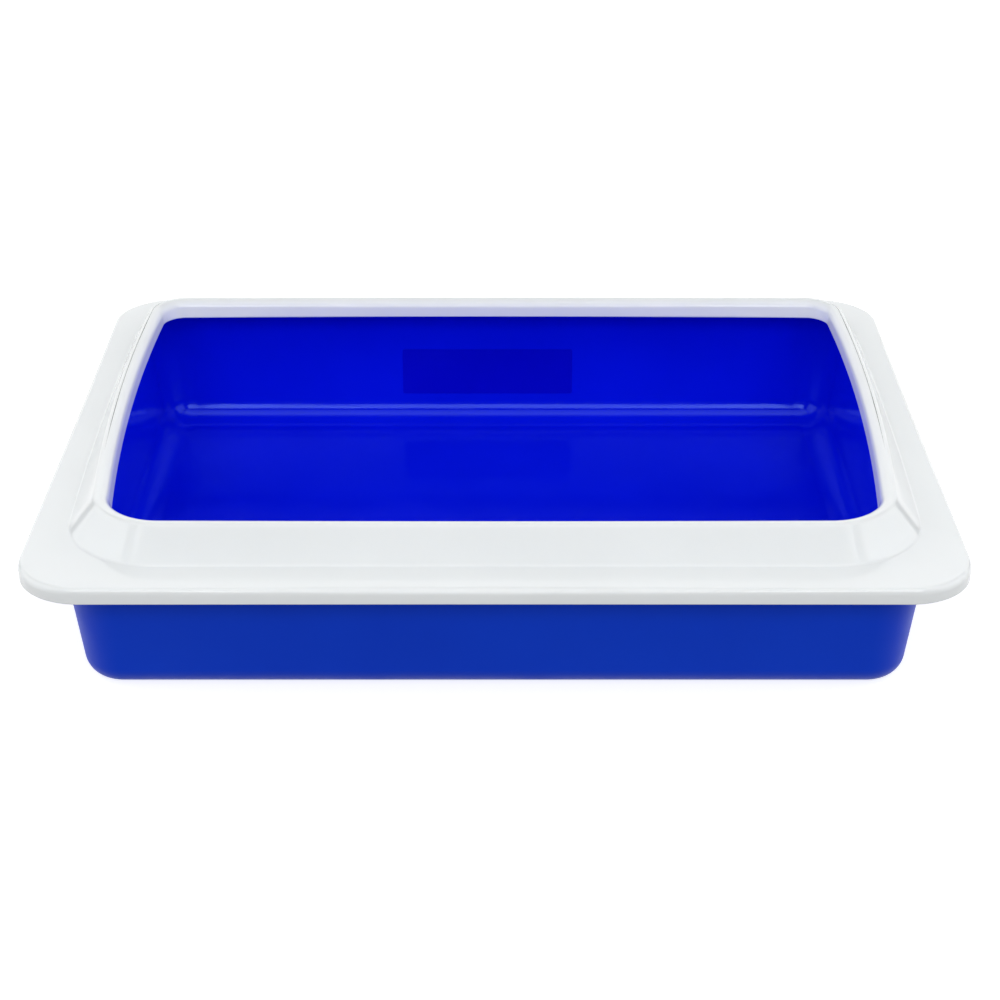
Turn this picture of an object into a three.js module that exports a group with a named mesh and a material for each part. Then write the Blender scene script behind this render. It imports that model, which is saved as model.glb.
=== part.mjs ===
// A rimmed litter pan in two mouldings: a deep tray, and a rim that drops over the tray's flange.
// A blank label sits on the tray's inner back wall.
// Sizes are in millimetres. +Z is up, +X is the long side, -Y is the front, and the origin is the
// middle of the tray's underside.

import * as THREE from 'three';

// Rim seen from above: outer edge of the lip
const RIM_WIDTH = 482.6;
const RIM_DEPTH = 384;
const RIM_CORNER = 34.4;

// Rim seen from above: the foot of its ridge, the ridge's crest, and the edge of the opening.
// The sides of all three bow outward, and the opening is a little wider towards the back.
const RIDGE_FOOT = {
  halfX: 225.2, halfY: 168, frontCorner: 50, backCorner: 40, sideBow: 3.2, sideLean: 0.01, endBow: 0,
};
const RIDGE_CREST = {
  halfX: 213, halfY: 150.5, frontCorner: 32, backCorner: 18, sideBow: 6.4, sideLean: 0.031, endBow: 0,
};
const OPENING = {
  halfX: 208.1, halfY: 145.6, frontCorner: 27, backCorner: 12, sideBow: 6.4, sideLean: 0.033, endBow: 2,
};

// Rim in section
const RIM_WALL = 1.8;
const BORDER_TOP = 74;
const LIP_DROP = 8.5;
const LIP_ROUND = 3.3;
const RIDGE_RISE = 16.5;
const RIDGE_FOOT_ROUND = 2.6;
const CREST_OUTER_ROUND = 3.4;
const CREST_OUTER_RUN = 3;
const CREST_INNER_ROUND = 5.8;
const CREST_INNER_RUN = 3.9;
const OPENING_EDGE_RISE = 6;
const RIM_EDGE_ROUND = 0.8;

// Tray: the corner where its outer wall would meet the ground if it weren't rounded
const TRAY_FOOT_WIDTH = 427;
const TRAY_FOOT_DEPTH = 328.4;
const TRAY_CORNER = 20;
const SMALLEST_TRAY_CORNER = 4;
const TRAY_WALL = 2;
const WALL_DRAFT = THREE.MathUtils.degToRad(6.86);
const TRAY_BOTTOM_ROUND = 13;
const TRAY_FLOOR_ROUND = 16;

// Tray flange, inside the rim's lip and under its border
const MATING_GAP = 0.3;
const FLANGE_SIDE_GAP = 1.1;
const FLANGE_TOP = BORDER_TOP - RIM_WALL - MATING_GAP;
const FLANGE_REACH = RIM_WIDTH / 2 - RIM_WALL - FLANGE_SIDE_GAP - TRAY_FOOT_WIDTH / 2;
const FLANGE_CORNER = RIM_CORNER - RIM_WALL - FLANGE_SIDE_GAP;
const FLANGE_HEM_DROP = 5.1;
const FLANGE_EDGE_ROUND = 2.6;
const FLANGE_ROOT_ROUND = 1.2;
const HEM_ROOT_ROUND = 0.8;
const TRAY_MOUTH_ROUND = 3;

// Blank label on the inner back wall
const LABEL_WIDTH = 109.5;
const LABEL_HEIGHT = 29.7;
const LABEL_THICKNESS = 0.5;
const LABEL_CORNER = 1.5;
const LABEL_CENTRE_X = -5.4;
const LABEL_CENTRE_Z = 33.5;

// How finely outlines are divided
const CORNER_STEPS = 6;
const SIDE_STEPS = 8;

const rimMaterial = new THREE.MeshStandardMaterial({ color: 0xe9edf0, roughness: 0.3, metalness: 0 });
const trayMaterial = new THREE.MeshStandardMaterial({ color: 0x0022c0, roughness: 0.25, metalness: 0 });
const labelMaterial = new THREE.MeshStandardMaterial({ color: 0x0206a6, roughness: 0.5, metalness: 0 });

// Points round a rectangle with rounded corners, anticlockwise from the right end of the back right corner.
function roundedRectangle({ halfX, halfY, frontCorner, backCorner }) {
  const corners = [
    { x: 1, y: 1, radius: backCorner },
    { x: -1, y: 1, radius: backCorner },
    { x: -1, y: -1, radius: frontCorner },
    { x: 1, y: -1, radius: frontCorner },
  ];
  const arcs = corners.map(({ x, y, radius }, quarter) => {
    const centre = new THREE.Vector2(x * (halfX - radius), y * (halfY - radius));
    return Array.from({ length: CORNER_STEPS + 1 }, (_, step) => {
      const angle = (quarter + step / CORNER_STEPS) * Math.PI / 2;
      return new THREE.Vector2(Math.cos(angle), Math.sin(angle)).multiplyScalar(radius).add(centre);
    });
  });
  return arcs.flatMap((arc, quarter) => {
    const sideStart = arc[CORNER_STEPS];
    const sideEnd = arcs[(quarter + 1) % arcs.length][0];
    const side = Array.from({ length: SIDE_STEPS - 1 }, (_, step) => (
      sideStart.clone().lerp(sideEnd, (step + 1) / SIDE_STEPS)
    ));
    return [...arc, ...side];
  });
}

// The same outline with its sides bowed, so that it is full size only at the middle of each side,
// and widening towards the back by sideLean for each millimetre.
function bowedOutline(shape) {
  const { halfX, halfY, sideBow, sideLean, endBow } = shape;
  return roundedRectangle(shape).map(({ x, y }) => {
    const widening = sideLean * y - sideBow * (y / halfY) ** 2;
    const lengthening = -endBow * (x / halfX) ** 2;
    return new THREE.Vector2(x * (1 + widening / halfX), y * (1 + lengthening / halfY));
  });
}

// Replaces each corner of a path with an arc of its own radius, in its own number of steps.
function roundCorners(corners, closed) {
  return corners.flatMap(({ x, y, radius = 0, steps = 0 }, index) => {
    const corner = new THREE.Vector2(x, y);
    const isEnd = !closed && (index === 0 || index === corners.length - 1);
    if (isEnd || steps === 0) {
      return [corner];
    }
    const before = corners[(index + corners.length - 1) % corners.length];
    const after = corners[(index + 1) % corners.length];
    const towardsBefore = new THREE.Vector2(before.x, before.y).sub(corner).normalize();
    const towardsAfter = new THREE.Vector2(after.x, after.y).sub(corner).normalize();
    const halfAngle = Math.acos(THREE.MathUtils.clamp(towardsBefore.dot(towardsAfter), -1, 1)) / 2;
    const centre = towardsBefore.clone().add(towardsAfter).normalize()
      .multiplyScalar(radius / Math.sin(halfAngle)).add(corner);
    const tangentLength = radius / Math.tan(halfAngle);
    const arcStart = towardsBefore.multiplyScalar(tangentLength).add(corner).sub(centre);
    const arcEnd = towardsAfter.multiplyScalar(tangentLength).add(corner).sub(centre);
    const turn = Math.atan2(arcStart.cross(arcEnd), arcStart.dot(arcEnd));
    return Array.from({ length: steps + 1 }, (_, step) => (
      arcStart.clone().rotateAround(new THREE.Vector2(), turn * step / steps).add(centre)
    ));
  });
}

// The corners of a path a constant distance to the right of another path's corners.
function offsetCorners(corners, distance) {
  const directions = corners.slice(1).map((corner, index) => (
    new THREE.Vector2(corner.x - corners[index].x, corner.y - corners[index].y).normalize()
  ));
  return corners.map((corner, index) => {
    const arriving = directions[Math.max(index - 1, 0)];
    const leaving = directions[Math.min(index, directions.length - 1)];
    const bisector = arriving.clone().add(leaving).normalize();
    const reach = distance / bisector.dot(arriving);
    const turnsRight = arriving.cross(leaving) < 0;
    return {
      ...corner,
      x: corner.x + bisector.y * reach,
      y: corner.y - bisector.x * reach,
      radius: corner.radius + (turnsRight ? -distance : distance),
    };
  });
}

// Joins rings of equal length into one closed surface. Rings either run back to the first one, or end
// in a flat cap at each end.
function loft(rings, { capped }) {
  const ringLength = rings[0].length;
  const positions = rings.flat().flatMap((point) => point.toArray());
  const triangles = [];
  const addStrip = (lower, upper) => {
    for (let index = 0; index < ringLength; index += 1) {
      const next = (index + 1) % ringLength;
      const [a, b] = [lower * ringLength + index, lower * ringLength + next];
      const [c, d] = [upper * ringLength + next, upper * ringLength + index];
      triangles.push(a, b, c, a, c, d);
    }
  };
  const addCap = (ring, flip) => {
    const centre = positions.length / 3;
    positions.push(0, 0, rings[ring][0].z);
    for (let index = 0; index < ringLength; index += 1) {
      const a = ring * ringLength + index;
      const b = ring * ringLength + (index + 1) % ringLength;
      triangles.push(centre, ...(flip ? [b, a] : [a, b]));
    }
  };
  rings.slice(1).forEach((_, index) => addStrip(index, index + 1));
  if (capped) {
    addCap(0, true);
    addCap(rings.length - 1, false);
  } else {
    addStrip(rings.length - 1, 0);
  }
  const geometry = new THREE.BufferGeometry();
  geometry.setAttribute('position', new THREE.Float32BufferAttribute(positions, 3));
  geometry.setIndex(triangles);
  geometry.computeVertexNormals();
  return geometry;
}

// The rim's closed section at one place round its outline. x runs inward from the lip, y is height.
function rimSection(footAt, crestAt, openingAt) {
  const crestTop = BORDER_TOP + RIDGE_RISE;
  const topSide = [
    { x: 0, y: BORDER_TOP - LIP_DROP, radius: RIM_EDGE_ROUND, steps: 2 },
    { x: 0, y: BORDER_TOP, radius: LIP_ROUND, steps: 4 },
    { x: footAt, y: BORDER_TOP, radius: RIDGE_FOOT_ROUND, steps: 3 },
    { x: crestAt - CREST_OUTER_RUN, y: crestTop, radius: CREST_OUTER_ROUND, steps: 4 },
    { x: crestAt + CREST_INNER_RUN, y: crestTop, radius: CREST_INNER_ROUND, steps: 4 },
    { x: openingAt, y: BORDER_TOP + OPENING_EDGE_RISE, radius: RIM_EDGE_ROUND, steps: 2 },
  ];
  const underside = offsetCorners(topSide, RIM_WALL).reverse();
  underside[0].radius = RIM_EDGE_ROUND;
  underside[underside.length - 1].radius = RIM_EDGE_ROUND;
  return roundCorners([...topSide, ...underside], true);
}

function makeRim() {
  const lip = roundedRectangle({
    halfX: RIM_WIDTH / 2, halfY: RIM_DEPTH / 2, frontCorner: RIM_CORNER, backCorner: RIM_CORNER,
  });
  const foot = bowedOutline(RIDGE_FOOT);
  const crest = bowedOutline(RIDGE_CREST);
  const opening = bowedOutline(OPENING);
  const sections = lip.map((lipPoint, index) => {
    const route = [lipPoint, foot[index], crest[index], opening[index]];
    const distances = [0];
    route.slice(1).forEach((point, leg) => distances.push(distances[leg] + point.distanceTo(route[leg])));
    return rimSection(...distances.slice(1)).map(({ x, y }) => {
      const leg = Math.max(0, distances.slice(1, -1).filter((distance) => distance < x).length);
      const share = (x - distances[leg]) / (distances[leg + 1] - distances[leg]);
      const planPoint = route[leg].clone().lerp(route[leg + 1], share);
      return new THREE.Vector3(planPoint.x, planPoint.y, y);
    });
  });
  const rings = sections[0].map((_, ring) => sections.map((section) => section[ring]));
  const mesh = new THREE.Mesh(loft(rings, { capped: false }), rimMaterial);
  mesh.name = 'rim';
  return mesh;
}

// How far the tray's outer wall has leaned out at a height
function wallLean(height) {
  return height * Math.tan(WALL_DRAFT);
}

function makeTray() {
  const flangeUnderside = FLANGE_TOP - TRAY_WALL;
  const wallAcross = TRAY_WALL / Math.cos(WALL_DRAFT);
  const hemInside = FLANGE_REACH - TRAY_WALL;
  const hemBottom = FLANGE_TOP - FLANGE_HEM_DROP;
  const outermostCap = -TRAY_FOOT_DEPTH / 4;
  // x is the distance out from the tray's foot, y is height.
  const section = roundCorners([
    { x: outermostCap, y: 0 },
    { x: 0, y: 0, radius: TRAY_BOTTOM_ROUND, steps: 5 },
    { x: wallLean(flangeUnderside), y: flangeUnderside, radius: FLANGE_ROOT_ROUND, steps: 2 },
    { x: hemInside, y: flangeUnderside, radius: HEM_ROOT_ROUND, steps: 1 },
    { x: hemInside, y: hemBottom },
    { x: FLANGE_REACH, y: hemBottom },
    { x: FLANGE_REACH, y: FLANGE_TOP, radius: FLANGE_EDGE_ROUND, steps: 3 },
    { x: wallLean(FLANGE_TOP) - wallAcross, y: FLANGE_TOP, radius: TRAY_MOUTH_ROUND, steps: 3 },
    { x: wallLean(TRAY_WALL) - wallAcross, y: TRAY_WALL, radius: TRAY_FLOOR_ROUND, steps: 5 },
    { x: outermostCap, y: TRAY_WALL },
  ], false);
  const rings = section.map(({ x, y }) => {
    const corner = THREE.MathUtils.clamp(TRAY_CORNER + x, SMALLEST_TRAY_CORNER, FLANGE_CORNER);
    const outline = roundedRectangle({
      halfX: TRAY_FOOT_WIDTH / 2 + x, halfY: TRAY_FOOT_DEPTH / 2 + x, frontCorner: corner, backCorner: corner,
    });
    return outline.map((point) => new THREE.Vector3(point.x, point.y, y));
  });
  const mesh = new THREE.Mesh(loft(rings, { capped: true }), trayMaterial);
  mesh.name = 'tray';
  return mesh;
}

function makeBlankLabel() {
  const shape = new THREE.Shape();
  const right = LABEL_WIDTH / 2 - LABEL_CORNER;
  const top = LABEL_HEIGHT / 2 - LABEL_CORNER;
  shape.absarc(right, top, LABEL_CORNER, 0, Math.PI / 2);
  shape.absarc(-right, top, LABEL_CORNER, Math.PI / 2, Math.PI);
  shape.absarc(-right, -top, LABEL_CORNER, Math.PI, Math.PI * 1.5);
  shape.absarc(right, -top, LABEL_CORNER, Math.PI * 1.5, Math.PI * 2);
  const geometry = new THREE.ExtrudeGeometry(shape, {
    depth: LABEL_THICKNESS, bevelEnabled: false, curveSegments: 3,
  });
  const mesh = new THREE.Mesh(geometry, labelMaterial);
  mesh.name = 'blank_label';
  const wallAcross = TRAY_WALL / Math.cos(WALL_DRAFT);
  const wallFaceY = TRAY_FOOT_DEPTH / 2 + wallLean(LABEL_CENTRE_Z) - wallAcross;
  mesh.position.set(LABEL_CENTRE_X, wallFaceY - MATING_GAP / Math.cos(WALL_DRAFT), LABEL_CENTRE_Z);
  mesh.rotation.x = Math.PI / 2 - WALL_DRAFT;
  return mesh;
}

const pan = new THREE.Group();
pan.add(makeTray(), makeRim(), makeBlankLabel());

export default pan;
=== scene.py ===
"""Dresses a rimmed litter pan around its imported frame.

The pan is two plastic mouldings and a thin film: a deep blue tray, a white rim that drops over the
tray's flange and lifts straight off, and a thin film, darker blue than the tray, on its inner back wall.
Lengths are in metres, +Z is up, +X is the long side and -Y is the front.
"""

import logging
import math
from dataclasses import dataclass
from dataclasses import replace
from enum import Enum

import bpy
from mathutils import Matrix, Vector


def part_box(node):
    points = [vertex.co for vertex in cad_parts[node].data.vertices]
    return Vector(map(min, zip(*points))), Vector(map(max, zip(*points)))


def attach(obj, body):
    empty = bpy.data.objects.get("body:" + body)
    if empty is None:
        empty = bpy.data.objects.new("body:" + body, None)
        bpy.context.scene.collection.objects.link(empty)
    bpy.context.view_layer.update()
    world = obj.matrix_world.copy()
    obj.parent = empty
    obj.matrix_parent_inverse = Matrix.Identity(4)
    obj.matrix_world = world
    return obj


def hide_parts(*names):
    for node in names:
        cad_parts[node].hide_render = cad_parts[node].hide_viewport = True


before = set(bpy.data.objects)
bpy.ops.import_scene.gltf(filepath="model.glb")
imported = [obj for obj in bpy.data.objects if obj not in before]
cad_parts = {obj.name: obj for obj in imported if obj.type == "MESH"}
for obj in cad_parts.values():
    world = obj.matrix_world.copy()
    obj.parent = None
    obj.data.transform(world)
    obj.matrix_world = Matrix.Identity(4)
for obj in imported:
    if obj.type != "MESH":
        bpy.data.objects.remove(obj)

LOG = logging.getLogger("rimmed_pan")
MM = 0.001

Colour = tuple[float, float, float]
Place = tuple[float, float, float]
Ring = list[Vector]


# ---------------------------------------------------------------------------------------------
# Outlines and sections
# ---------------------------------------------------------------------------------------------


@dataclass(frozen=True)
class Outline:
    """A rounded rectangle seen from above, whose sides may bow outward.

    Attributes:
        half_x: Half its length along X, at the middle of the short sides.
        half_y: Half its width along Y, at the middle of the long sides.
        front_corner: Radius of the two front corners.
        back_corner: Radius of the two back corners.
        side_bow: How far a short side has come in by its ends.
        side_lean: How much half_x grows for each metre towards the back.
        end_bow: How far a long side has come in by its ends.
    """

    half_x: float
    half_y: float
    front_corner: float
    back_corner: float
    side_bow: float = 0.0
    side_lean: float = 0.0
    end_bow: float = 0.0

    CORNER_STEPS = 20
    SIDE_STEPS = 26

    def corner_arcs(self) -> list[Ring]:
        """Returns the four corner arcs, anticlockwise from the back right one."""
        corners = (
            (1, 1, self.back_corner),
            (-1, 1, self.back_corner),
            (-1, -1, self.front_corner),
            (1, -1, self.front_corner),
        )
        arcs = []
        for quarter, (side_x, side_y, radius) in enumerate(corners):
            centre = Vector((side_x * (self.half_x - radius), side_y * (self.half_y - radius)))
            arc = []
            for step in range(self.CORNER_STEPS + 1):
                angle = (quarter + step / self.CORNER_STEPS) * math.pi / 2
                arc.append(centre + radius * Vector((math.cos(angle), math.sin(angle))))
            arcs.append(arc)
        return arcs

    def bowed(self, point: Vector) -> Vector:
        """Moves a point of the straight-sided outline onto the bowed one.

        Args:
            point: A point in plan.

        Returns:
            The moved point.
        """
        widening = self.side_lean * point.y - self.side_bow * (point.y / self.half_y) ** 2
        lengthening = -self.end_bow * (point.x / self.half_x) ** 2
        return Vector((
            point.x * (1 + widening / self.half_x),
            point.y * (1 + lengthening / self.half_y),
        ))

    def points(self) -> Ring:
        """Returns the outline's points in plan, always as many and in the same order."""
        arcs = self.corner_arcs()
        ring = []
        for quarter, arc in enumerate(arcs):
            side_start = arc[-1]
            side_end = arcs[(quarter + 1) % len(arcs)][0]
            ring.extend(arc)
            for step in range(1, self.SIDE_STEPS):
                ring.append(side_start.lerp(side_end, step / self.SIDE_STEPS))
        return [self.bowed(point) for point in ring]


@dataclass(frozen=True)
class Corner:
    """A corner of a section: where its two straight runs meet, and how it is rounded.

    Attributes:
        across: Horizontal place in the section.
        height: Height above the ground.
        radius: Radius of the rounding.
        steps: How many straight pieces the rounding takes. None leaves the corner sharp.
    """

    across: float
    height: float
    radius: float = 0.0
    steps: int = 0

    def place(self) -> Vector:
        """Returns the corner as a point of the section."""
        return Vector((self.across, self.height))


def rounded_section(corners: list[Corner], closed: bool) -> Ring:
    """Replaces each corner of a section with its arc.

    Args:
        corners: The section's corners in order.
        closed: Whether the last corner runs back to the first.

    Returns:
        The points of the section, as (across, height).
    """
    count = len(corners)
    points = []
    for index, corner in enumerate(corners):
        place = corner.place()
        is_end = not closed and index in (0, count - 1)
        if is_end or corner.steps == 0:
            points.append(place)
            continue
        to_before = (corners[index - 1].place() - place).normalized()
        to_after = (corners[(index + 1) % count].place() - place).normalized()
        half_angle = to_before.angle(to_after) / 2
        middle = (to_before + to_after).normalized()
        centre = place + middle * (corner.radius / math.sin(half_angle))
        tangent = corner.radius / math.tan(half_angle)
        start = place + to_before * tangent - centre
        end = place + to_after * tangent - centre
        turn = math.atan2(start.x * end.y - start.y * end.x, start.dot(end))
        for step in range(corner.steps + 1):
            angle = turn * step / corner.steps
            points.append(centre + Vector((
                start.x * math.cos(angle) - start.y * math.sin(angle),
                start.x * math.sin(angle) + start.y * math.cos(angle),
            )))
    return points


def offset_section(corners: list[Corner], distance: float) -> list[Corner]:
    """Moves an open section sideways, so that the two sections bound one wall.

    Args:
        corners: The section's corners in order.
        distance: How far to the right of its direction it moves.

    Returns:
        The corners of the moved section, in the same order.
    """
    directions = []
    for here, there in zip(corners, corners[1:]):
        directions.append((there.place() - here.place()).normalized())
    moved = []
    for index, corner in enumerate(corners):
        arriving = directions[max(index - 1, 0)]
        leaving = directions[min(index, len(directions) - 1)]
        middle = (arriving + leaving).normalized()
        reach = distance / middle.dot(arriving)
        turns_right = arriving.x * leaving.y - arriving.y * leaving.x < 0
        moved.append(replace(
            corner,
            across=corner.across + middle.y * reach,
            height=corner.height - middle.x * reach,
            radius=corner.radius - distance if turns_right else corner.radius + distance,
        ))
    return moved


# ---------------------------------------------------------------------------------------------
# Meshes
# ---------------------------------------------------------------------------------------------


def skin_faces(ring_count: int, ring_length: int, closed: bool) -> list[tuple[int, ...]]:
    """Lists the four-sided faces between rings that follow each other.

    Args:
        ring_count: How many rings there are.
        ring_length: How many points each ring has.
        closed: Whether the last ring joins the first. If not, a flat face caps each end.

    Returns:
        The faces, strip by strip, with the two caps last.
    """
    faces = []
    strips = ring_count if closed else ring_count - 1
    for strip in range(strips):
        lower = strip * ring_length
        upper = (strip + 1) % ring_count * ring_length
        for index in range(ring_length):
            following = (index + 1) % ring_length
            faces.append((lower + index, lower + following, upper + following, upper + index))
    if not closed:
        last = (ring_count - 1) * ring_length
        faces.append(tuple(reversed(range(ring_length))))
        faces.append(tuple(range(last, last + ring_length)))
    return faces


def smooth_by_area(mesh: bpy.types.Mesh) -> None:
    """Shades a mesh smooth with its large flat faces kept flat.

    Args:
        mesh: The mesh, whose normals are set.
    """
    normals = [Vector() for _ in mesh.vertices]
    for polygon in mesh.polygons:
        polygon.use_smooth = True
        for index in polygon.vertices:
            normals[index] += polygon.normal * polygon.area
    mesh.normals_split_custom_set_from_vertices([normal.normalized() for normal in normals])


def skinned_piece(name: str, rings: list[Ring], closed: bool) -> bpy.types.Object:
    """Makes one closed piece from rings of equal length.

    Args:
        name: The piece's name.
        rings: Rings of points in space.
        closed: Whether the last ring joins the first.

    Returns:
        The new object, linked to the scene.
    """
    mesh = bpy.data.meshes.new(name)
    vertices = [point for ring in rings for point in ring]
    mesh.from_pydata(vertices, [], skin_faces(len(rings), len(rings[0]), closed))
    mesh.validate()
    smooth_by_area(mesh)
    piece = bpy.data.objects.new(name, mesh)
    bpy.context.scene.collection.objects.link(piece)
    return piece


# ---------------------------------------------------------------------------------------------
# Finishes
# ---------------------------------------------------------------------------------------------


class ShaderSheet:
    """Adds and joins the shader nodes of one material."""

    def __init__(self, name: str) -> None:
        """Starts a material that holds one principled shader.

        Args:
            name: The material's name.
        """
        self.material = bpy.data.materials.new(name)
        self.material.use_nodes = True
        self.nodes = self.material.node_tree.nodes
        self.links = self.material.node_tree.links
        self.shader = self.nodes["Principled BSDF"]
        self.place = self.nodes.new("ShaderNodeTexCoord").outputs["Object"]

    def set(self, socket: str, value: float | Colour | tuple[float, ...]) -> None:
        """Sets a value on the shader's own socket."""
        self.shader.inputs[socket].default_value = value

    def drive(self, socket: str, source: bpy.types.NodeSocket) -> None:
        """Joins a result to one of the shader's sockets."""
        self.links.new(source, self.shader.inputs[socket])

    def noise(self, size: float, detail: float, squeeze: Place = (1, 1, 1)) -> bpy.types.NodeSocket:
        """Makes cloudy noise.

        Args:
            size: Width of one cloud.
            detail: How many finer layers it has.
            squeeze: How much the pattern is squeezed along each axis.

        Returns:
            The noise, from 0 to 1.
        """
        mapping = self.nodes.new("ShaderNodeMapping")
        mapping.inputs["Scale"].default_value = squeeze
        self.links.new(self.place, mapping.inputs["Vector"])
        noise = self.nodes.new("ShaderNodeTexNoise")
        noise.inputs["Scale"].default_value = 1 / size
        noise.inputs["Detail"].default_value = detail
        self.links.new(mapping.outputs["Vector"], noise.inputs["Vector"])
        return noise.outputs["Fac"]

    def ranged(
        self, source: bpy.types.NodeSocket, low: float, high: float, to_low: float, to_high: float
    ) -> bpy.types.NodeSocket:
        """Maps a range of values to another, held at its ends.

        Args:
            source: The value to map.
            low: The value that becomes to_low.
            high: The value that becomes to_high.
            to_low: Start of the new range.
            to_high: End of the new range.

        Returns:
            The mapped value.
        """
        ranged = self.nodes.new("ShaderNodeMapRange")
        ranged.inputs["From Min"].default_value = low
        ranged.inputs["From Max"].default_value = high
        ranged.inputs["To Min"].default_value = to_low
        ranged.inputs["To Max"].default_value = to_high
        self.links.new(source, ranged.inputs["Value"])
        return ranged.outputs["Result"]

    def product(self, first: bpy.types.NodeSocket, second: bpy.types.NodeSocket) -> bpy.types.NodeSocket:
        """Multiplies two values."""
        node = self.nodes.new("ShaderNodeMath")
        node.operation = "MULTIPLY"
        self.links.new(first, node.inputs[0])
        self.links.new(second, node.inputs[1])
        return node.outputs["Value"]

    def sum(self, first: bpy.types.NodeSocket, second: bpy.types.NodeSocket) -> bpy.types.NodeSocket:
        """Adds two values."""
        node = self.nodes.new("ShaderNodeMath")
        node.operation = "ADD"
        self.links.new(first, node.inputs[0])
        self.links.new(second, node.inputs[1])
        return node.outputs["Value"]

    def height(self) -> bpy.types.NodeSocket:
        """Returns the height above the ground."""
        split = self.nodes.new("ShaderNodeSeparateXYZ")
        self.links.new(self.place, split.inputs["Vector"])
        return split.outputs["Z"]

    def blend(
        self, share: bpy.types.NodeSocket, first: bpy.types.NodeSocket | Colour, second: Colour
    ) -> bpy.types.NodeSocket:
        """Blends two colours.

        Args:
            share: How much of the second colour there is.
            first: The first colour, or a result that holds it.
            second: The second colour.

        Returns:
            The blended colour.
        """
        mix = self.nodes.new("ShaderNodeMix")
        mix.data_type = "RGBA"
        self.links.new(share, mix.inputs["Factor"])
        if isinstance(first, tuple):
            mix.inputs["A"].default_value = (*first, 1)
        else:
            self.links.new(first, mix.inputs["A"])
        mix.inputs["B"].default_value = (*second, 1)
        return mix.outputs["Result"]

    def bump(
        self, relief: bpy.types.NodeSocket, depth: float, under: bpy.types.NodeSocket | None = None
    ) -> bpy.types.NodeSocket:
        """Raises the surface a little.

        Args:
            relief: How high the surface is, from 0 to 1.
            depth: The height that 1 stands for.
            under: An earlier relief that this one lies on.

        Returns:
            The new surface normal.
        """
        bump = self.nodes.new("ShaderNodeBump")
        bump.inputs["Distance"].default_value = depth
        self.links.new(relief, bump.inputs["Height"])
        if under is not None:
            self.links.new(under, bump.inputs["Normal"])
        return bump.outputs["Normal"]


@dataclass(frozen=True)
class MouldedPlastic:
    """The finish of a moulded surface.

    Attributes:
        name: The material's name.
        colour: The plastic's colour.
        drift_colour: The colour it drifts to where the pigment lies a little differently.
        roughness: Roughness of the cleanest places.
        roughness_spread: How much rougher the dullest places are.
        grain_size: Width of one grain of the mould's texture.
        grain_depth: Depth of that texture.
        wave_depth: Depth of the long, faint waves that cooling leaves.
        specular: Strength of the reflection at right angles.
        specular_tint: Colour that the pigment gives to that reflection.
        scuff_height: How far up from the ground the surface is scuffed by handling.
        scuff_colour: The paler colour of a scuff.
        glow: Share of the light that scatters below the surface.
    """

    name: str
    colour: Colour
    drift_colour: Colour
    roughness: float
    roughness_spread: float
    grain_size: float
    grain_depth: float
    wave_depth: float = 0.04 * MM
    specular: float = 0.5
    specular_tint: Colour = (1.0, 1.0, 1.0)
    scuff_height: float = 0.0
    scuff_colour: Colour = (0.5, 0.5, 0.5)
    glow: float = 0.0

    DRIFT_SIZE = 70 * MM
    DRIFT_CONTRAST = (0.35, 0.65)
    WAVE_SIZE = 55 * MM
    SMEAR_SIZE = 22 * MM
    SMEAR_CONTRAST = (0.4, 0.7)
    FLECK_SIZE = 2.2 * MM
    FLECK_SQUEEZE = (0.35, 0.35, 1)
    FLECK_CONTRAST = (0.56, 0.68)
    FLECK_STRENGTH = 0.5
    FLECK_DULLNESS = 0.2
    GLOW_REACH = 2.5 * MM
    GLOW_BY_COLOUR = (1.0, 0.9, 0.8)

    def material(self) -> bpy.types.Material:
        """Builds the material."""
        sheet = ShaderSheet(self.name)
        sheet.set("Specular IOR Level", self.specular)
        sheet.set("Specular Tint", (*self.specular_tint, 1.0))
        if self.glow > 0:
            sheet.set("Subsurface Weight", self.glow)
            sheet.set("Subsurface Scale", self.GLOW_REACH)
            sheet.set("Subsurface Radius", self.GLOW_BY_COLOUR)
        drift = sheet.ranged(sheet.noise(self.DRIFT_SIZE, 4.0), *self.DRIFT_CONTRAST, 0.0, 1.0)
        colour = sheet.blend(drift, self.colour, self.drift_colour)
        smears = sheet.noise(self.SMEAR_SIZE, 6.0)
        dullest = self.roughness + self.roughness_spread
        dullness = sheet.ranged(smears, *self.SMEAR_CONTRAST, self.roughness, dullest)
        if self.scuff_height > 0:
            specks = sheet.noise(self.FLECK_SIZE, 8.0, self.FLECK_SQUEEZE)
            flecks = sheet.ranged(specks, *self.FLECK_CONTRAST, 0.0, self.FLECK_STRENGTH)
            low_down = sheet.ranged(sheet.height(), 0.0, self.scuff_height, 1.0, 0.0)
            scuffs = sheet.product(flecks, low_down)
            colour = sheet.blend(scuffs, colour, self.scuff_colour)
            extra = sheet.ranged(scuffs, 0.0, self.FLECK_STRENGTH, 0.0, self.FLECK_DULLNESS)
            dullness = sheet.sum(dullness, extra)
        sheet.drive("Base Color", colour)
        sheet.drive("Roughness", dullness)
        waves = sheet.bump(sheet.noise(self.WAVE_SIZE, 0.0), self.wave_depth)
        sheet.drive("Normal", sheet.bump(sheet.noise(self.grain_size, 2.0), self.grain_depth, waves))
        return sheet.material


TRAY_INSIDE = MouldedPlastic(
    name="tray_inside_gloss",
    colour=(0.0, 0.0064, 0.74),
    drift_colour=(0.0004, 0.0074, 0.78),
    roughness=0.1,
    roughness_spread=0.07,
    grain_size=0.9 * MM,
    grain_depth=0.002 * MM,
    specular=0.5,
    specular_tint=(0.3, 0.5, 1.0),
)

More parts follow.
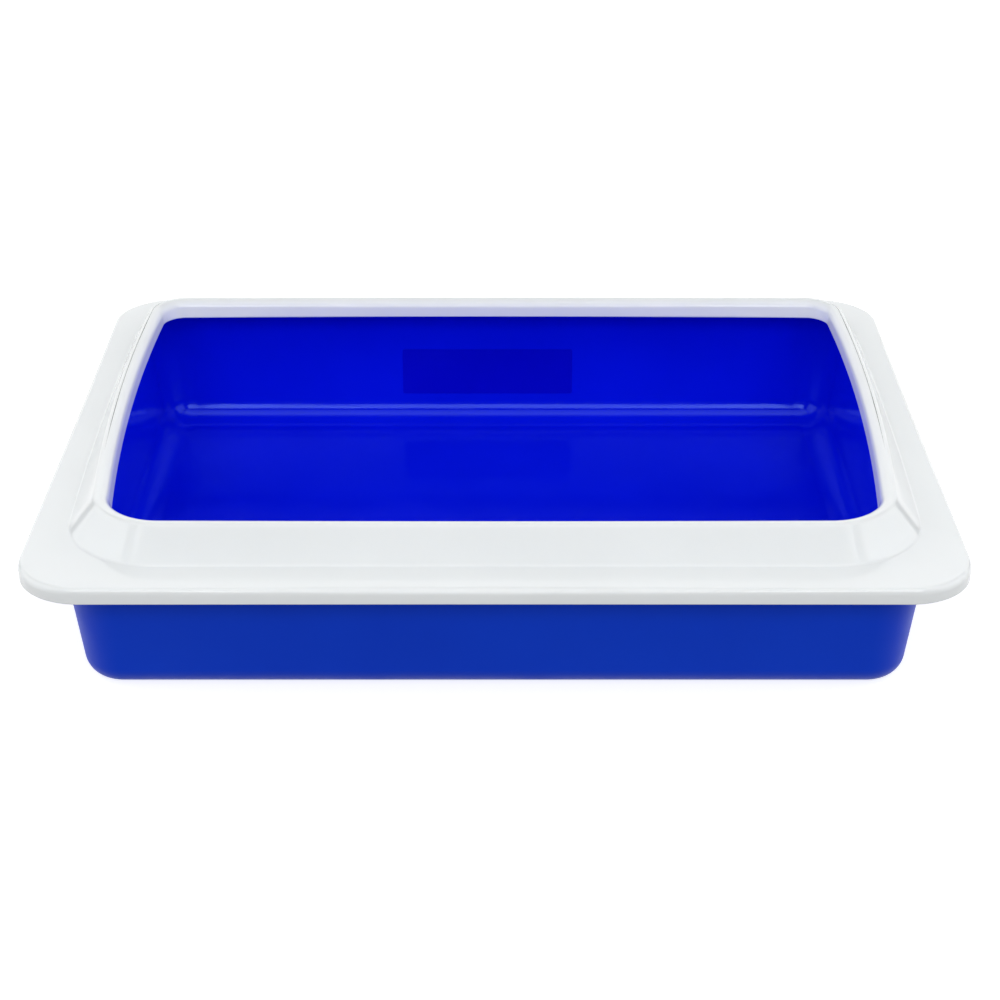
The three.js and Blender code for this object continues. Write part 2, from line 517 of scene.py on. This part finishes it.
TRAY_OUTSIDE = MouldedPlastic(
    name="tray_outside_texture",
    colour=(0.0004, 0.037, 0.60),
    drift_colour=(0.0006, 0.041, 0.63),
    roughness=0.42,
    roughness_spread=0.08,
    grain_size=0.7 * MM,
    grain_depth=0.02 * MM,
    specular=0.35,
    specular_tint=(0.05, 0.3, 1.0),
    scuff_height=9 * MM,
    scuff_colour=(0.05, 0.12, 0.55),
)

RIM_WHITE = MouldedPlastic(
    name="rim_satin_white",
    colour=(0.86, 0.89, 0.9),
    drift_colour=(0.84, 0.87, 0.88),
    roughness=0.07,
    roughness_spread=0.04,
    grain_size=0.8 * MM,
    grain_depth=0.0015 * MM,
    specular=0.65,
    glow=0.1,
)

# A flat finish, darker blue than the tray's inside, for the thin film on the inner back wall.
DARK_WALL_FILM = MouldedPlastic(
    name="label_film",
    colour=(0.0008, 0.0008, 0.57),
    drift_colour=(0.0012, 0.0014, 0.6),
    roughness=0.35,
    roughness_spread=0.08,
    grain_size=0.6 * MM,
    grain_depth=0.004 * MM,
    specular=0.2,
    specular_tint=(0.1, 0.3, 1.0),
)


# ---------------------------------------------------------------------------------------------
# Sub-assemblies
# ---------------------------------------------------------------------------------------------


class Face(Enum):
    """The two kinds of surface on the tray, as its material slots."""

    OUTSIDE = 0
    INSIDE = 1


@dataclass(frozen=True)
class Tray:
    """The blue tray: a drafted wall, rounded floor edges and a hemmed flange.

    Attributes:
        flange_half_x: Half the flange's length.
        flange_half_y: Half the flange's width.
        flange_top: Height of the flange's upper face.
        flange_reach: How far the flange's edge stands out past the foot's sharp corner.
        wall: Wall thickness.
        draft: How far the wall leans out from upright.
        bottom_round: Radius between the wall's outer face and the ground.
        floor_round: Radius of the cove between the floor and the walls inside.
        foot_corner: Corner radius in plan at the foot.
        flange_corner: Corner radius in plan at the flange's edge.
        hem_drop: Height of the flange's turned-down edge.
        flange_root_round: Radius under the flange where it leaves the wall.
        hem_root_round: Radius inside the turned-down edge.
        hem_edge_round: Radius of the turned-down edge's two lower corners.
        flange_edge_round: Radius between the flange's upper face and its edge.
        mouth_round: Radius from the flange's upper face down into the tray.
    """

    flange_half_x: float
    flange_half_y: float
    flange_top: float
    flange_reach: float = 24.9 * MM
    wall: float = 2.0 * MM
    draft: float = math.radians(6.86)
    bottom_round: float = 13 * MM
    floor_round: float = 16 * MM
    foot_corner: float = 20 * MM
    flange_corner: float = 31.5 * MM
    hem_drop: float = 5.1 * MM
    flange_root_round: float = 1.2 * MM
    hem_root_round: float = 0.8 * MM
    hem_edge_round: float = 0.5 * MM
    flange_edge_round: float = 2.6 * MM
    mouth_round: float = 3 * MM

    SMALLEST_CORNER = 4 * MM
    FLAT_REACH = 40 * MM
    FLOOR_SHARES = (0.75, 0.4, 0.1)
    GATE_STUB_MM = ((0.9, 0.25), (1.5, 0.35), (1.7, 0.6), (5.6, 0.6), (6.2, 0.45), (6.7, 0.1), (7.4, 0.0))
    GATE_SURROUND = 12 * MM
    UNDERSIDE_SHARES = (0.0, 0.12, 0.35, 0.65, 0.9)

    @classmethod
    def from_frame(cls) -> "Tray":
        """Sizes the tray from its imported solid."""
        _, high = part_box("tray")
        return cls(high.x, high.y, high.z)

    def lean(self, height: float) -> float:
        """Returns how far the outer wall has leaned out at a height."""
        return height * math.tan(self.draft)

    def wall_across(self) -> float:
        """Returns the wall's thickness measured level."""
        return self.wall / math.cos(self.draft)

    def inner_half_y(self, height: float) -> float:
        """Returns half the width between the inner faces of the long walls at a height."""
        return self.flange_half_y - self.flange_reach + self.lean(height) - self.wall_across()

    def ring(self, across: float, height: float) -> Ring:
        """Makes one level ring of the tray.

        Args:
            across: Distance out from the foot's sharp corner.
            height: Height above the ground.

        Returns:
            The ring's points.
        """
        corner = min(max(self.foot_corner + across, self.SMALLEST_CORNER), self.flange_corner)
        outline = Outline(
            half_x=self.flange_half_x - self.flange_reach + across,
            half_y=self.flange_half_y - self.flange_reach + across,
            front_corner=corner,
            back_corner=corner,
        )
        return [Vector((point.x, point.y, height)) for point in outline.points()]

    def gate_rings(self, outer_ring: Ring) -> list[Ring]:
        """Makes the small moulding gate in the middle of the underside.

        Args:
            outer_ring: The first ring of the underside around it.

        Returns:
            Rings from the gate's stub outward, up to but without outer_ring.
        """
        directions = [Vector((point.x, point.y, 0)).normalized() for point in outer_ring]
        rings = []
        for radius, height in self.GATE_STUB_MM:
            rings.append([way * radius * MM + Vector((0, 0, height * MM)) for way in directions])
        flat_ring = [way * self.GATE_SURROUND for way in directions]
        for share in self.UNDERSIDE_SHARES:
            rings.append([inner.lerp(outer, share) for inner, outer in zip(flat_ring, outer_ring)])
        return rings

    def section(self) -> tuple[Ring, int]:
        """Draws the section from the underside out, over the flange and in to the floor.

        Returns:
            The section's points, and the place of the first that belongs to the inside.
        """
        under_flange = self.flange_top - self.wall
        hem_inside = self.flange_reach - self.wall
        hem_bottom = self.flange_top - self.hem_drop
        flat_end = -self.FLAT_REACH
        outside = [
            Corner(flat_end, 0),
            Corner(0, 0, self.bottom_round, 14),
            Corner(self.lean(under_flange), under_flange, self.flange_root_round, 5),
            Corner(hem_inside, under_flange, self.hem_root_round, 4),
            Corner(hem_inside, hem_bottom, self.hem_edge_round, 3),
            Corner(self.flange_reach, hem_bottom, self.hem_edge_round, 3),
            Corner(self.flange_reach, self.flange_top, self.flange_edge_round, 8),
        ]
        mouth_at = self.lean(self.flange_top) - self.wall_across()
        floor_edge_at = self.lean(self.wall) - self.wall_across()
        inside = [
            Corner(mouth_at, self.flange_top, self.mouth_round, 8),
            Corner(floor_edge_at, self.wall, self.floor_round, 24),
            Corner(flat_end, self.wall),
        ]
        points = rounded_section(outside + inside, closed=False)
        inside_points = sum(corner.steps + 1 for corner in inside)
        return points, len(points) - inside_points

    def build(self) -> bpy.types.Object:
        """Builds the tray and dresses it.

        Returns:
            The piece, riding on the tray's body.
        """
        section, first_inside = self.section()
        body_rings = [self.ring(point.x, point.y) for point in section]
        gate_rings = self.gate_rings(body_rings[0])
        floor_rings = []
        for share in self.FLOOR_SHARES:
            floor_rings.append([
                Vector((point.x * share, point.y * share, point.z)) for point in body_rings[-1]
            ])
        rings = gate_rings + body_rings + floor_rings
        piece = skinned_piece("tray_moulding", rings, closed=False)
        piece.data.materials.append(TRAY_OUTSIDE.material())
        piece.data.materials.append(TRAY_INSIDE.material())
        ring_length = len(body_rings[0])
        inside_from = (len(gate_rings) + first_inside) * ring_length
        bottom_cap = len(piece.data.polygons) - 2
        for polygon in piece.data.polygons:
            is_inside = polygon.index >= inside_from and polygon.index != bottom_cap
            polygon.material_index = (Face.INSIDE if is_inside else Face.OUTSIDE).value
        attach(piece, "tray")
        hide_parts("tray")
        return piece


@dataclass(frozen=True)
class Rim:
    """The white rim: a lip, a level border and a hollow ridge around the opening.

    Attributes:
        half_x: Half its length.
        half_y: Half its width.
        lip_bottom: Height of the lip's lower edge.
        crest_top: Height of the ridge's crest.
        wall: Wall thickness.
        corner: Corner radius of the lip in plan.
        lip_round: Radius between the lip and the border.
        ridge_rise: How far the crest stands above the border.
        foot_round: Radius of the hollow where the border meets the ridge.
        crest_outer_round: Radius from the slope onto the crest.
        crest_outer_run: From the crest's middle out to where the slope would reach its height.
        crest_inner_round: Radius from the crest down into the opening.
        crest_inner_run: From the crest's middle in to where the inner face would reach its height.
        opening_edge_rise: How far the opening's lower edge stands above the border.
        edge_round: Radius of the thin free edges.
    """

    half_x: float
    half_y: float
    lip_bottom: float
    crest_top: float
    wall: float = 1.8 * MM
    corner: float = 34.4 * MM
    lip_round: float = 3.3 * MM
    ridge_rise: float = 16.5 * MM
    foot_round: float = 2.6 * MM
    crest_outer_round: float = 3.4 * MM
    crest_outer_run: float = 3.0 * MM
    crest_inner_round: float = 5.8 * MM
    crest_inner_run: float = 3.9 * MM
    opening_edge_rise: float = 6 * MM
    edge_round: float = 0.8 * MM

    @classmethod
    def from_frame(cls) -> "Rim":
        """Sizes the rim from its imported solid."""
        low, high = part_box("rim")
        return cls(high.x, high.y, low.z, high.z)

    def outlines(self) -> list[Outline]:
        """Returns the lip, the ridge's foot, its crest and the opening's edge, seen from above."""
        lip = Outline(self.half_x, self.half_y, self.corner, self.corner)
        foot = Outline(
            half_x=self.half_x - 16.1 * MM,
            half_y=self.half_y - 24 * MM,
            front_corner=50 * MM,
            back_corner=40 * MM,
            side_bow=3.2 * MM,
            side_lean=0.01,
        )
        crest = Outline(
            half_x=self.half_x - 28.3 * MM,
            half_y=self.half_y - 41.5 * MM,
            front_corner=32 * MM,
            back_corner=18 * MM,
            side_bow=6.4 * MM,
            side_lean=0.031,
        )
        opening = Outline(
            half_x=self.half_x - 33.2 * MM,
            half_y=self.half_y - 46.4 * MM,
            front_corner=27 * MM,
            back_corner=12 * MM,
            side_bow=6.4 * MM,
            side_lean=0.033,
            end_bow=2 * MM,
        )
        return [lip, foot, crest, opening]

    def section(self, foot_at: float, crest_at: float, opening_at: float) -> Ring:
        """Draws the closed section at one place round the rim.

        Args:
            foot_at: Distance in from the lip to the ridge's foot.
            crest_at: Distance in from the lip to the crest.
            opening_at: Distance in from the lip to the opening's edge.

        Returns:
            The section's points, as (distance in from the lip, height).
        """
        border_top = self.crest_top - self.ridge_rise
        top_side = [
            Corner(0, self.lip_bottom, self.edge_round, 4),
            Corner(0, border_top, self.lip_round, 10),
            Corner(foot_at, border_top, self.foot_round, 6),
            Corner(crest_at - self.crest_outer_run, self.crest_top, self.crest_outer_round, 10),
            Corner(crest_at + self.crest_inner_run, self.crest_top, self.crest_inner_round, 14),
            Corner(opening_at, border_top + self.opening_edge_rise, self.edge_round, 4),
        ]
        underside = offset_section(top_side, self.wall)
        underside.reverse()
        underside[0] = replace(underside[0], radius=self.edge_round)
        underside[-1] = replace(underside[-1], radius=self.edge_round)
        return rounded_section(top_side + underside, closed=True)

    def column(self, route: list[Vector]) -> Ring:
        """Places the section at one point round the rim.

        Args:
            route: The lip, the foot, the crest and the opening there, in plan.

        Returns:
            The section's points in space.
        """
        distances = [0.0]
        for here, there in zip(route, route[1:]):
            distances.append(distances[-1] + (there - here).length)
        column = []
        for point in self.section(*distances[1:]):
            leg = sum(1 for distance in distances[1:-1] if distance < point.x)
            share = (point.x - distances[leg]) / (distances[leg + 1] - distances[leg])
            plan = route[leg].lerp(route[leg + 1], share)
            column.append(Vector((plan.x, plan.y, point.y)))
        return column

    def build(self) -> bpy.types.Object:
        """Builds the rim and dresses it.

        Returns:
            The piece, riding on the rim's body.
        """
        routes = zip(*(outline.points() for outline in self.outlines()))
        columns = [self.column(list(route)) for route in routes]
        rings = [list(ring) for ring in zip(*columns)]
        piece = skinned_piece("rim_moulding", rings, closed=True)
        piece.data.materials.append(RIM_WHITE.material())
        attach(piece, "rim")
        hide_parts("rim")
        return piece


@dataclass(frozen=True)
class DarkWallFilm:
    """A thin film, darker blue than the tray's inside, on the inner back wall.

    Attributes:
        left: Its left end.
        right: Its right end.
        middle_height: Height of its middle.
        half_height: Half its height, measured level.
        thickness: Thickness of the film.
        lift: Gap between the film and the wall.
        corner: Radius of its corners.
        edge: Size of the bevel round the film.
    """

    left: float
    right: float
    middle_height: float
    half_height: float
    thickness: float = 0.12 * MM
    lift: float = 0.06 * MM
    corner: float = 1.2 * MM
    edge: float = 0.04 * MM

    FACE_INSET_SHARE = 0.6

    @classmethod
    def from_frame(cls) -> "DarkWallFilm":
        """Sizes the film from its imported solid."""
        low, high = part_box("blank_label")
        return cls(low.x, high.x, (low.z + high.z) / 2, (high.z - low.z) / 2)

    def build(self, tray: Tray) -> bpy.types.Object:
        """Builds the film on the tray's wall and dresses it.

        Args:
            tray: The tray that it is stuck to.

        Returns:
            The piece, riding on the tray's body.
        """
        outline = Outline((self.right - self.left) / 2, self.half_height, self.corner, self.corner)
        depths = (
            (0.0, self.edge),
            (0.0, 0.0),
            (self.thickness - self.edge, 0.0),
            (self.thickness, self.edge),
            (self.thickness, self.corner * self.FACE_INSET_SHARE),
        )
        middle_x = (self.left + self.right) / 2
        rings = []
        for depth, inset in depths:
            inner = replace(outline, half_x=outline.half_x - inset, half_y=outline.half_y - inset)
            ring = []
            for point in inner.points():
                height = self.middle_height + point.y
                wall_y = tray.inner_half_y(height)
                ring.append(Vector((middle_x + point.x, wall_y - self.lift - depth, height)))
            rings.append(ring)
        piece = skinned_piece("back_wall_film_piece", rings, closed=False)
        piece.data.materials.append(DARK_WALL_FILM.material())
        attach(piece, "tray")
        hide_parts("blank_label")
        return piece


# ---------------------------------------------------------------------------------------------
# Studio
# ---------------------------------------------------------------------------------------------


@dataclass(frozen=True)
class SoftBox:
    """A rectangular studio light.

    Attributes:
        name: The light's name.
        place: Where it stands.
        aim: What it points at.
        width: Its width.
        depth: Its other side.
        power: Its power in watts.
    """

    name: str
    place: Place
    aim: Place
    width: float
    depth: float
    power: float

    def build(self) -> bpy.types.Object:
        """Hangs the light and points it."""
        light = bpy.data.lights.new(self.name, "AREA")
        light.shape = "RECTANGLE"
        light.size = self.width
        light.size_y = self.depth
        light.energy = self.power
        lamp = bpy.data.objects.new(self.name, light)
        lamp.location = self.place
        beam = Vector(self.aim) - Vector(self.place)
        lamp.rotation_euler = beam.to_track_quat("-Z", "Y").to_euler()
        bpy.context.scene.collection.objects.link(lamp)
        return lamp


@dataclass(frozen=True)
class Studio:
    """The pale floor, the soft lights, the surroundings and the camera.

    Attributes:
        floor_half: Half the floor's side.
        floor_glow: Light that comes through the floor from below.
        sky: Strength of the even light from above.
        bounce: Strength of the even light that the object gets from below.
        camera_place: Where the camera stands.
        camera_pitch: How far it looks down.
        lens_mm: Focal length.
        sensor_mm: Width of the sensor.
    """

    floor_half: float = 4.0
    floor_glow: float = 0.72
    sky: float = 0.04
    bounce: float = 0.34
    camera_place: Place = (0.0027, -1.1216, 0.6019)
    camera_pitch: float = math.radians(27.21)
    lens_mm: float = 78.04
    sensor_mm: float = 36

    HORIZON_BLUR = 0.02
    VIEW_REACH = 50
    WHITE = (1.0, 1.0, 1.0, 1.0)
    PAPER = (0.61, 0.61, 0.61)
    PALER_PAPER = (0.63, 0.63, 0.63)
    MOTTLE_SIZE = 120 * MM
    MOTTLE_CONTRAST = (0.3, 0.7)
    PAPER_ROUGHNESS = (0.7, 0.85)
    PAPER_SPECULAR = 0.1
    LIGHTS = (
        SoftBox("left_key", (-0.8, -2.1, 1.45), (0.0, 0.0, 0.05), 1.0, 0.9, 11.5),
        SoftBox("centre_key", (0.0, -2.2, 1.45), (0.0, 0.0, 0.05), 0.6, 0.9, 5),
        SoftBox("right_key", (0.8, -2.1, 1.45), (0.0, 0.0, 0.05), 1.0, 0.9, 11.5),
        SoftBox("left_panel", (-2.6, 0.0, 1.2), (0.0, 0.0, 0.3), 4.0, 2.2, 36),
        SoftBox("right_panel", (2.6, 0.0, 1.2), (0.0, 0.0, 0.3), 4.0, 2.2, 36),
        SoftBox("back_panel", (0.0, 2.6, 1.0), (0.0, 0.0, 0.2), 5.0, 2.0, 38),
        SoftBox("ceiling_panel", (0.0, 0.0, 2.0), (0.0, 0.0, 0.0), 4.0, 2.0, 12),
        SoftBox("overhead_softbox", (0.0, -0.68, 1.5), (0.0, 0.0, 0.0), 2.2, 0.7, 6),
    )

    def build_floor(self) -> None:
        """Lays the pale floor."""
        half = self.floor_half
        mesh = bpy.data.meshes.new("studio_floor")
        corners = [(-half, -half, 0), (half, -half, 0), (half, half, 0), (-half, half, 0)]
        mesh.from_pydata(corners, [], [(0, 1, 2, 3)])
        floor = bpy.data.objects.new("studio_floor", mesh)
        bpy.context.scene.collection.objects.link(floor)
        sheet = ShaderSheet("floor_paper")
        mottle = sheet.noise(self.MOTTLE_SIZE, 4.0)
        sheet.drive("Base Color", sheet.blend(mottle, self.PAPER, self.PALER_PAPER))
        sheet.drive("Roughness", sheet.ranged(mottle, *self.MOTTLE_CONTRAST, *self.PAPER_ROUGHNESS))
        sheet.set("Specular IOR Level", self.PAPER_SPECULAR)
        sheet.set("Emission Color", self.WHITE)
        sheet.set("Emission Strength", self.floor_glow)
        mesh.materials.append(sheet.material)
        floor.visible_diffuse = False

    def build_surroundings(self) -> None:
        """Sets the even light, one strength from above and another from below."""
        world = bpy.data.worlds.new("studio_surroundings")
        world.use_nodes = True
        nodes = world.node_tree.nodes
        links = world.node_tree.links
        direction = nodes.new("ShaderNodeTexCoord").outputs["Generated"]
        split = nodes.new("ShaderNodeSeparateXYZ")
        links.new(direction, split.inputs["Vector"])
        strength = nodes.new("ShaderNodeMapRange")
        strength.inputs["From Min"].default_value = -self.HORIZON_BLUR
        strength.inputs["From Max"].default_value = self.HORIZON_BLUR
        strength.inputs["To Min"].default_value = self.bounce
        strength.inputs["To Max"].default_value = self.sky
        links.new(split.outputs["Z"], strength.inputs["Value"])
        background = nodes["Background"]
        background.inputs["Color"].default_value = self.WHITE
        links.new(strength.outputs["Result"], background.inputs["Strength"])
        bpy.context.scene.world = world

    def build_camera(self) -> None:
        """Sets up the camera."""
        camera = bpy.data.cameras.new("view")
        camera.lens = self.lens_mm
        camera.sensor_width = self.sensor_mm
        camera.clip_end = self.VIEW_REACH
        viewer = bpy.data.objects.new("view", camera)
        viewer.location = self.camera_place
        viewer.rotation_euler = (math.pi / 2 - self.camera_pitch, 0, 0)
        bpy.context.scene.collection.objects.link(viewer)
        bpy.context.scene.camera = viewer

    def build(self) -> None:
        """Builds the whole studio."""
        self.build_floor()
        self.build_surroundings()
        for light in self.LIGHTS:
            light.build()
        self.build_camera()
        bpy.context.scene.view_settings.view_transform = "Standard"


def main() -> None:
    """Builds each sub-assembly in order and writes how large the result is."""
    logging.basicConfig(level=logging.INFO, format="%(name)s: %(message)s")
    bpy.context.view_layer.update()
    tray = Tray.from_frame()
    pieces = [tray.build(), Rim.from_frame().build(), DarkWallFilm.from_frame().build(tray)]
    for piece in pieces:
        LOG.info("%s: %d faces", piece.name, len(piece.data.polygons))
    Studio().build()
    LOG.info("studio built")


if __name__ == "__main__":
    main()
